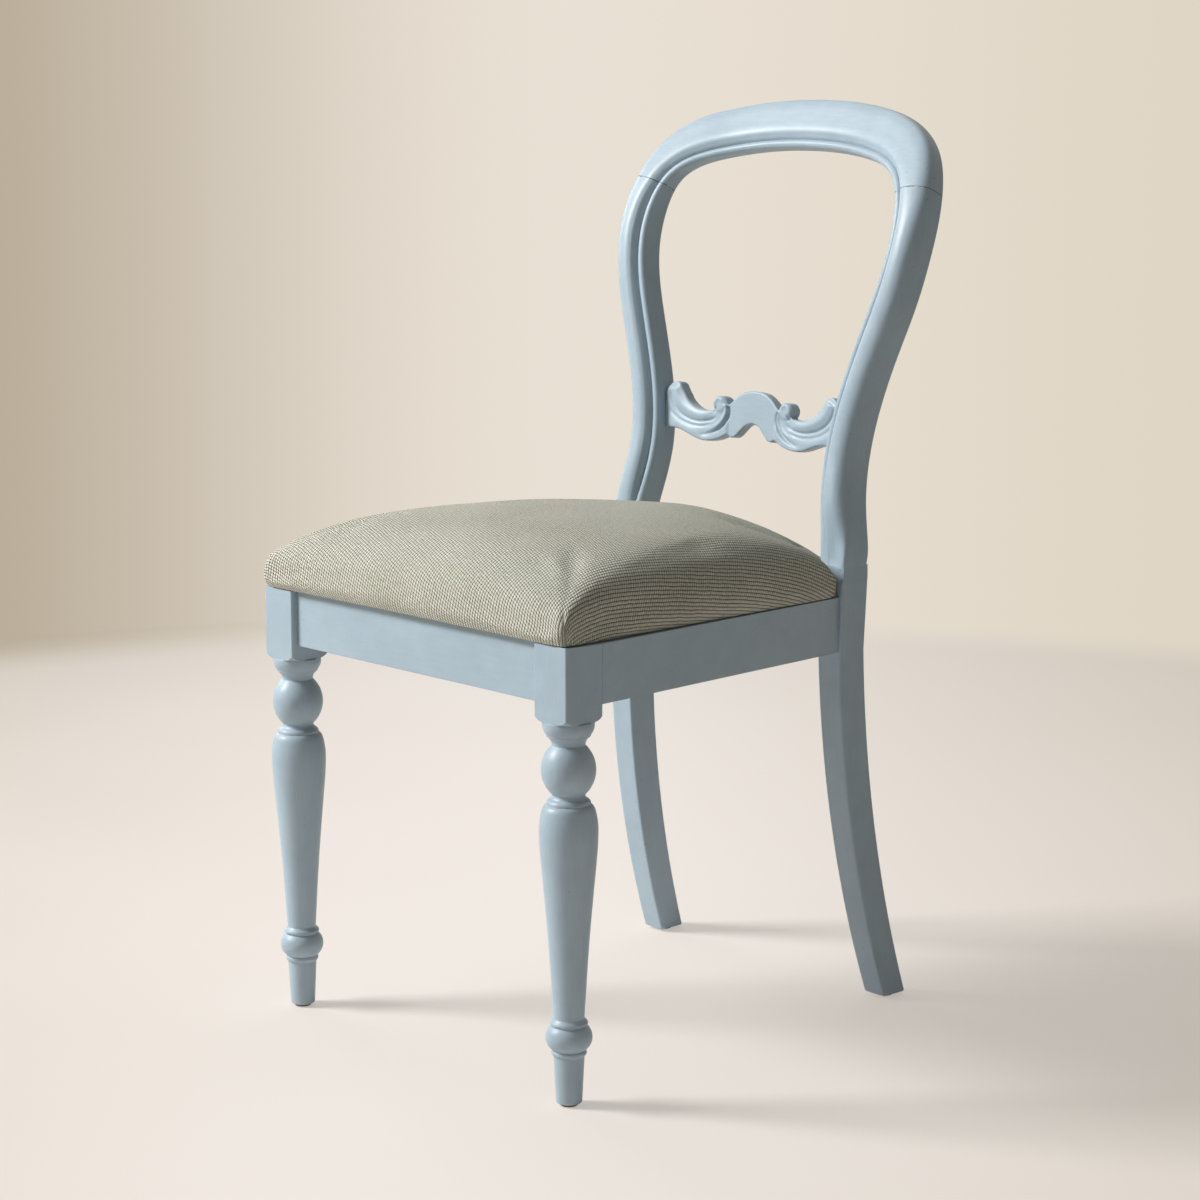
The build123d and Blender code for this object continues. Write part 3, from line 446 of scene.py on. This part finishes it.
def blowUp(shell):  # how a copy of the cover swells in a cloth simulation, laid back on the cover
    copy = bpy.data.objects.new("blownUp", shell.data.copy())
    bpy.context.collection.objects.link(copy)
    even = copy.modifiers.new("even", "REMESH")
    even.mode, even.voxel_size, even.adaptivity = "VOXEL", pad["voxel"], 0
    applyModifiers(copy)
    before = points(copy.data)
    y = before[:, 1] + chairMiddle
    back, inside = pad["heldAtPosts"]
    atPosts = (y > pad["postFront"] - back) & (np.abs(before[:, 0]) > pad["postInner"] - inside)
    low = before[:, 2] - seatLevel(y) < pad["heldBelow"]
    held = copy.vertex_groups.new(name="held")
    held.add([int(k) for k in np.nonzero(low | atPosts)[0]], 1.0, "REPLACE")
    sim = copy.modifiers.new("cloth", "CLOTH")
    settings = sim.settings
    settings.quality, settings.mass = 6, pad["mass"]
    settings.tension_stiffness = settings.compression_stiffness = pad["stretch"]
    settings.shear_stiffness, settings.bending_stiffness = pad["shear"], pad["bend"]
    settings.use_pressure, settings.uniform_pressure_force = True, pad["pressure"]
    settings.effector_weights.gravity = 0
    settings.vertex_group_mass = "held"
    sim.collision_settings.use_self_collision = False
    sim.point_cache.frame_start, sim.point_cache.frame_end = 1, pad["steps"]
    for step in range(1, pad["steps"] + 1):
        bpy.context.scene.frame_set(step)
    swollen = points(copy.evaluated_get(bpy.context.evaluated_depsgraph_get()).data)
    bpy.context.scene.frame_set(1)
    moved = swollen - before
    moved *= np.minimum(1, pad["cap"] / np.maximum(np.linalg.norm(moved, axis=1), 1e-9))[:, None]
    tree = KDTree(len(before))
    for index, place in enumerate(before):
        tree.insert(place, index)
    tree.balance()
    places = points(shell.data)
    for index, place in enumerate(places):
        near = tree.find_n(place, 5)
        weights = np.array([1 / (gap + 0.001) for _, _, gap in near])
        places[index] += (moved[[k for _, k, _ in near]] * (weights / weights.sum())[:, None]).sum(0)
    setPoints(shell.data, places)
    bpy.data.objects.remove(copy)
    mean = float(np.linalg.norm(moved, axis=1).mean()) * 1000
    print("cushion swelled by", round(mean, 2), "mm on average")


pleats = {
    "folds": [  # side of the corner, distance from it, height, depth and width, in metres
        (1, 0.0120, 0.020, 0.0022, 0.0016),
        (-1, 0.0150, 0.015, 0.0012, 0.0022),
        (1, 0.0270, 0.012, 0.0008, 0.0022),
    ],
    "slant": (0.25, 0.2),    # on the sides and on the front
    "reach": 0.01,           # in from the rim
}


def foldPleats(shell):  # small folds beside the front corners, where the cover is turned under
    places = points(shell.data)
    x, y = places[:, 0], places[:, 1] + chairMiddle
    level = places[:, 2] - seatLevel(y)
    half = halfAt(y)
    sideSlant, frontSlant = pleats["slant"]
    for side, away, high, depth, width in pleats["folds"]:
        if side > 0:   # on the sides of the pad
            gap, rim = y - (pad["front"] + away + sideSlant * level), half - np.abs(x)
        else:          # on its front
            gap, rim = (pad["halfWidth"] - away - frontSlant * level) - np.abs(x), y - pad["front"]
        dent = depth * np.exp(-(gap / width) ** 2)
        dent = dent * np.clip(1 - level / high, 0, 1) * np.clip(1 - rim / pleats["reach"], 0, 1)
        places[:, 0] -= np.sign(x) * dent * (side > 0)
        places[:, 1] += dent * (side < 0)
    setPoints(shell.data, places)


def layCloth(shell, cube):  # unrolls the cloth over the edges of the seat into a UV map, in metres
    rows, levels = pad["rows"], pad["levels"]
    number = np.rint((cube + 1) / 2 * (rows, rows, levels)).astype(int)
    grid = np.zeros((rows + 1, rows + 1, levels + 1), dtype=int)
    grid[tuple(number.T)] = np.arange(len(cube))
    places = points(shell.data)[grid]
    over = places[:, :, levels]

    def along(axis):  # lengths along the top, from its middle line
        steps = np.linalg.norm(np.diff(over, axis=axis), axis=2)
        total = np.insert(np.cumsum(steps, axis=axis), 0, 0, axis=axis)
        return total - np.take(total, [rows // 2], axis=axis)

    down = np.linalg.norm(np.diff(places, axis=2), axis=3)[:, :, ::-1].cumsum(axis=2)[:, :, ::-1]
    down = np.concatenate([down, np.zeros_like(down[:, :, :1])], axis=2)
    loops = np.empty(len(shell.data.loops), dtype=np.int32)
    shell.data.loops.foreach_get("vertex_index", loops)
    a, b, c = number[loops].T
    quads = number[loops].reshape(-1, 4, 3)
    onSide = np.repeat(np.ptp(quads[:, :, 0], axis=1) == 0, 4)
    onEnd = np.repeat(np.ptp(quads[:, :, 1], axis=1) == 0, 4)
    u = along(0)[a, b] + np.where(onSide, np.sign(a - 1) * down[a, b, c], 0)
    v = along(1)[a, b] + np.where(onEnd, np.sign(b - 1) * down[a, b, c], 0)
    shell.data.uv_layers.new(name="cloth").data.foreach_set("uv", np.stack([u, v], 1).reshape(-1))


cushion, cushionCube = cushionShell()
blowUp(cushion)
layCloth(cushion, cushionCube)
finer = cushion.modifiers.new("finer", "SUBSURF")
finer.levels = finer.render_levels = 1
applyModifiers(cushion)
foldPleats(cushion)
shadeSmooth(cushion)
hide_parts("seat_cover", "seat_foam")
print("cushion made,", len(cushion.data.polygons), "faces")


# carved rail across the back

carving = {
    "level": 0.575, "front": 0.4075, "thick": 0.0124,
    "bow": 0.0045, "bowHalf": 0.1157,        # how far it curves, and over what half length
    "rake": 8.0,                             # in degrees
    "round": 0.0011,                         # of the front edges
    "voxel": 0.00095,
    "lift": 0.9, "archDrop": 1.1, "knob": (45.4, -10.4, 8.6, 1.5),   # in mm; across, up, radius, height
}


def curvePoints(knots, count=24):  # smooth line through a few knots
    knots = np.array(knots, float)
    ends = np.vstack([2 * knots[0] - knots[1], knots, 2 * knots[-1] - knots[-2]])
    out = []
    for k in range(len(knots) - 1):
        p0, p1, p2, p3 = ends[k:k + 4]
        t = np.linspace(0, 1, count, endpoint=k == len(knots) - 2)[:, None]
        out.append(0.5 * (2 * p1 + (p2 - p0) * t + (2 * p0 - 5 * p1 + 4 * p2 - p3) * t ** 2
                          + (3 * p1 - p0 - 3 * p2 + p3) * t ** 3))
    return np.vstack(out)


def farFrom(x, z, knots):  # distance to a smooth line, and how far along it the nearest point is
    line = curvePoints(knots)
    gap = np.hypot(x[:, None] - line[None, :, 0], z[:, None] - line[None, :, 1])
    nearest = gap.argmin(1)
    return gap[np.arange(len(x)), nearest], nearest / (len(line) - 1), line[nearest]


# right half of the outline, in mm about the rail's centre: smooth runs between sharp corners
outlineRuns = [
    [(0, 5.8), (8, 5.2), (16, 3.2), (25, -2.2), (34.6, -10.6)],
    [(34.6, -10.6), (37.5, -5.6), (41.5, -2.8), (46, -2.0), (50.6, -3.4), (54.0, -7.2), (54.6, -11.5),
     (53.2, -14.6), (50.4, -16.4)],
    [(50.4, -16.4), (58, -17.2), (68, -17.6), (78, -15.6), (88, -10.0), (96, -1.2), (101.5, 6.0)],
    [(101.5, 6.0), (105, 7.6), (109.5, 7.2), (114.5, 3.8), (119.2, -1.0)],
    [(119.2, -1.0), (119.2, -38.6)],
    [(119.2, -38.6), (110, -38.6), (98, -39.2), (88, -42.0), (77, -45.6), (65, -47.8), (54, -47.0),
     (43, -44.2), (32.6, -39.2)],
    [(32.6, -39.2), (28, -42.0)],
    [(28, -42.0), (22, -40.6), (15.5, -34.6), (9, -28.8), (0, -25.8)],
]
grooves = [  # knots, depth and width in mm, and the shares along it where it fades in and out
    ([(113.5, -1.5), (110.5, -11), (103, -20), (90.5, -26.5), (74, -29.4), (58, -27.6), (47.0, -22.6)],
     1.7, 1.15, 0.06, 0.10),
    ([(117.0, -14.0), (110.0, -22.5), (97, -30.0), (80, -33.8), (64, -33.4), (53, -29.6)],
     1.0, 1.05, 0.3, 0.12),
    ([(34.4, -11.6), (33.0, -16), (33.4, -22), (38.0, -29.4), (47, -36.4), (58, -40.8), (70, -42.8)],
     3.4, 1.35, 0.02, 0.35),
    ([(52.2, -18.6), (50.4, -15.2), (47.4, -14.4)], 2.3, 1.0, 0.01, 0.3),
]
ridges = [
    ([(107, 3), (103, -7), (94, -15.5), (80, -21.6), (64, -22.8), (54, -20.6)], 2.3, 5.6, 0.05, 0.2),
    ([(37.2, -10.0), (36.0, -16), (37.4, -22), (42.5, -28.6), (51, -34.2), (62, -37.8)],
     1.5, 2.0, 0.02, 0.4),
    ([(40.2, -7.2), (46, -4.8), (51.0, -8.4), (51.2, -12.6)], 0.9, 1.6, 0.05, 0.1),
    ([(114, -27), (100, -34.0), (82, -39.6), (66, -40.6)], 0.9, 4.5, 0.3, 0.3),
]


def relief(x, z):  # how far the carving stands out of the front face, in mm
    x = np.abs(x)
    out = np.zeros_like(x)
    for sign, features in ((1, ridges), (-1, grooves)):
        for knots, depth, width, fadeIn, fadeOut in features:
            far, share, _ = farFrom(x, z, knots)
            fade = np.clip(share / fadeIn, 0, 1) * np.clip((1 - share) / fadeOut, 0, 1)
            out += sign * depth * fade * np.exp(-(far / width) ** 2)
    nearest = farFrom(x, z, grooves[2][0])[2]
    inner = np.clip((nearest[:, 0] - x) / 2.2 + 0.2, 0, 1) * np.clip((34 - x) / 3, 0, 1)
    out -= carving["archDrop"] * inner                  # the plain arch lies a little lower
    across, up, radius, height = carving["knob"]        # the volute's eye
    out += height * np.clip((radius - np.hypot(x - across, z - up)) / 2.6, 0, 1) ** 0.7
    return out


def carvedRail():
    outline = []
    for run in outlineRuns:
        outline += [tuple(p) for p in curvePoints(run, 7)[:-1]] if len(run) > 2 else [run[0]]
    outline.append(outlineRuns[-1][-1])
    outline += [(-x, z) for x, z in reversed(outline[1:-1])]
    bm = bmesh.new()
    ring = [bm.verts.new((x / 1000, 0, z / 1000)) for x, z in outline]
    face = bm.faces.new(ring)
    grown = bmesh.ops.extrude_face_region(bm, geom=[face])
    moved = [g for g in grown["geom"] if isinstance(g, bmesh.types.BMVert)]
    bmesh.ops.translate(bm, verts=moved, vec=(0, carving["thick"], 0))
    front = [e for e in bm.edges if all(v.co.y < 1e-6 for v in e.verts)]
    bmesh.ops.bevel(bm, geom=front, offset=carving["round"], offset_type="OFFSET", affect="EDGES",
                    segments=2, profile=0.5, material=-1)
    bmesh.ops.triangulate(bm, faces=bm.faces[:])
    bmesh.ops.recalc_face_normals(bm, faces=bm.faces[:])
    rail = newPiece("carvedRail", bm, paints["carved"])
    even = rail.modifiers.new("even", "REMESH")
    even.mode, even.voxel_size, even.adaptivity = "VOXEL", carving["voxel"], 0
    applyModifiers(rail)
    places = points(rail.data)
    x, y, z = places.T * 1000
    thick = carving["thick"] * 1000
    frontness = np.clip((thick - y) / thick * 1.15 - 0.15, 0, 1)   # 1 at the front, 0 at the back
    y = y - relief(x, z) * frontness + carving["lift"] * frontness
    places[:, 1] = y / 1000
    setPoints(rail.data, places)
    ease = rail.modifiers.new("ease", "SMOOTH")
    ease.factor, ease.iterations = 0.5, 2
    applyModifiers(rail)
    places = points(rail.data)
    places[:, 1] += carving["bow"] * (1 - (places[:, 0] / carving["bowHalf"]) ** 2)
    turn = Matrix.Rotation(-math.radians(carving["rake"]), 3, "X")
    places = places @ np.array(turn.transposed())
    places += (0, carving["front"] - chairMiddle, carving["level"])
    setPoints(rail.data, places)
    shadeSmooth(rail)
    rail.data.materials.clear()
    rail.data.materials.append(paints["carved"])
    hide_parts("carved_mid_rail")
    return rail


rail = carvedRail()
print("carved rail made,", len(rail.data.polygons), "faces")


# floor, background, lamps and camera

stage = {
    "radius": 2.14,                  # of the round floor
    "rim": (1.84, 2.13),             # between these the floor turns into the colour behind it
    # painted light falloff: the floor and the colour behind it are darker at the left and right of the
    # view, brightest in the middle
    "floor": ((0.62, 0.565, 0.505, 1), (0.89, 0.83, 0.775, 1), (0.80, 0.73, 0.645, 1)),
    "behind": ((0.47, 0.40, 0.30, 1), (0.815, 0.745, 0.66, 1), (0.735, 0.67, 0.555, 1)),
    "reach": (-1.15, -0.05, 1.05),   # where the left, middle and right colours are, across the view; painted light falloff, darker at the left and right
    "away": 4.98,                    # from the camera to the far rim
    "glow": 0.50,                    # how much of the floor's colour is its own light
    "ambient": ((1.0, 0.97, 0.925, 1), 0.16),   # colour and strength
    "azimuth": 48.041,
}


class Sky(Finish):  # the same wrapper around the world's nodes
    def __init__(self, name):
        self.world = bpy.data.worlds.new(name)
        self.world.use_nodes = True
        self.tree = self.world.node_tree


def threeTones(finish, across, tones, scale=1.0):  # left, middle and right of the view, for the painted light falloff that is brightest in the middle
    left, middle, right = (reach / scale for reach in stage["reach"])
    inner = finish.blend(across.step(left, middle), tones[0], tones[1])
    return finish.blend(across.step(middle, right), inner, tones[2])


def seenRays(finish):  # 1 for what looks at the background, 0 for what is lit by it
    camera, glossy, clear = [finish.node("ShaderNodeLightPath", output=kind) for kind in (
        "Is Camera Ray", "Is Glossy Ray", "Is Transmission Ray")]
    return camera.most(glossy).most(clear)


def mixShaders(finish, share, first, second, end):
    mix = finish.tree.nodes.new("ShaderNodeMixShader")
    for start, to in ((share.socket, mix.inputs[0]), (first.outputs[0], mix.inputs[1]),
                      (second.outputs[0], mix.inputs[2]), (mix.outputs[0], end.inputs["Surface"])):
        finish.tree.links.new(start, to)


def floorFinish():
    finish = Finish("studioFloor", Roughness=0.95, Specular_IOR_Level=0.1)
    at = finish.place(turn=(0, 0, -math.radians(stage["azimuth"])))
    x, y, _ = finish.axes(at)
    across = x + (finish.noise(at, 0.9, 2) - 0.5) * 0.4
    rim = ((x * x + y * y) ** 0.5).step(*stage["rim"])
    # painted light falloff across the floor and its rim, brightest in the middle of the view
    inner, outer = threeTones(finish, across, stage["floor"]), threeTones(finish, x, stage["behind"])
    shade = finish.blend(rim, inner, outer)
    finish.feed(Base_Color=shade)
    light = finish.tree.nodes.new("ShaderNodeEmission")
    finish.tree.links.new(shade.socket, light.inputs["Color"])
    share = seenRays(finish) * (stage["glow"] + rim * (1 - stage["glow"]))
    mixShaders(finish, share, finish.shader, light, finish.tree.nodes["Material Output"])
    return finish.material


def studioSky():
    sky = Sky("studio")
    bpy.context.scene.world = sky.world
    way = sky.node("ShaderNodeTexCoord", output="Generated")
    turned = sky.node("ShaderNodeMapping", inputs={"Vector": way, "Rotation": (
        0, 0, -math.radians(stage["azimuth"]))})
    ambient, behind = sky.tree.nodes["Background"], sky.tree.nodes.new("ShaderNodeBackground")
    ambient.inputs["Color"].default_value, ambient.inputs["Strength"].default_value = stage["ambient"]
    # painted light falloff in the background, brightest in the middle of the view
    shade = threeTones(sky, sky.axes(turned)[0], stage["behind"], stage["away"])
    sky.tree.links.new(shade.socket, behind.inputs["Color"])
    mixShaders(sky, seenRays(sky), ambient, behind, sky.tree.nodes["World Output"])


def roundFloor():
    bm = bmesh.new()
    bmesh.ops.create_circle(bm, cap_ends=True, segments=160, radius=stage["radius"])
    mesh = bpy.data.meshes.new("floor")
    bm.to_mesh(mesh)
    bm.free()
    floor = bpy.data.objects.new("floor", mesh)
    bpy.context.collection.objects.link(floor)
    mesh.materials.append(floorFinish())


roundFloor()
studioSky()

lamps = {  # place, aimed at, size, watts, colour
    "key": ((-2.1, -2.30, 2.50), (0, 0, 0.45), 1.1, 170, (1.0, 0.99, 0.98)),
    "fill": ((-3.4, 0.3, 1.5), (0, 0, 0.6), 1.2, 16, (0.96, 0.98, 1.0)),
    "top": ((-0.9, 0.6, 3.2), (0, 0.1, 0.6), 1.6, 12, (1.0, 0.99, 0.98)),
}
for name, (place, aim, size, watts, colour) in lamps.items():
    lamp = bpy.data.lights.new(name, "AREA")
    lamp.energy, lamp.size, lamp.color = watts, size, colour
    holder = bpy.data.objects.new(name, lamp)
    holder.location = place
    holder.rotation_euler = (Vector(aim) - Vector(place)).to_track_quat("-Z", "Y").to_euler()
    bpy.context.collection.objects.link(holder)

view = {"place": (2.0916, -1.9116, 0.8853), "downwards": 9.852, "lens": 90.91, "sensor": 36}
camera = bpy.data.cameras.new("camera")
camera.sensor_width, camera.lens = view["sensor"], view["lens"]
eye = bpy.data.objects.new("camera", camera)
eye.location = view["place"]
eye.rotation_euler = (math.radians(90 - view["downwards"]), 0, math.radians(stage["azimuth"]))
bpy.context.collection.objects.link(eye)
bpy.context.scene.camera = eye
bpy.context.scene.view_settings.view_transform = "Standard"
print("stage, lamps and camera set")
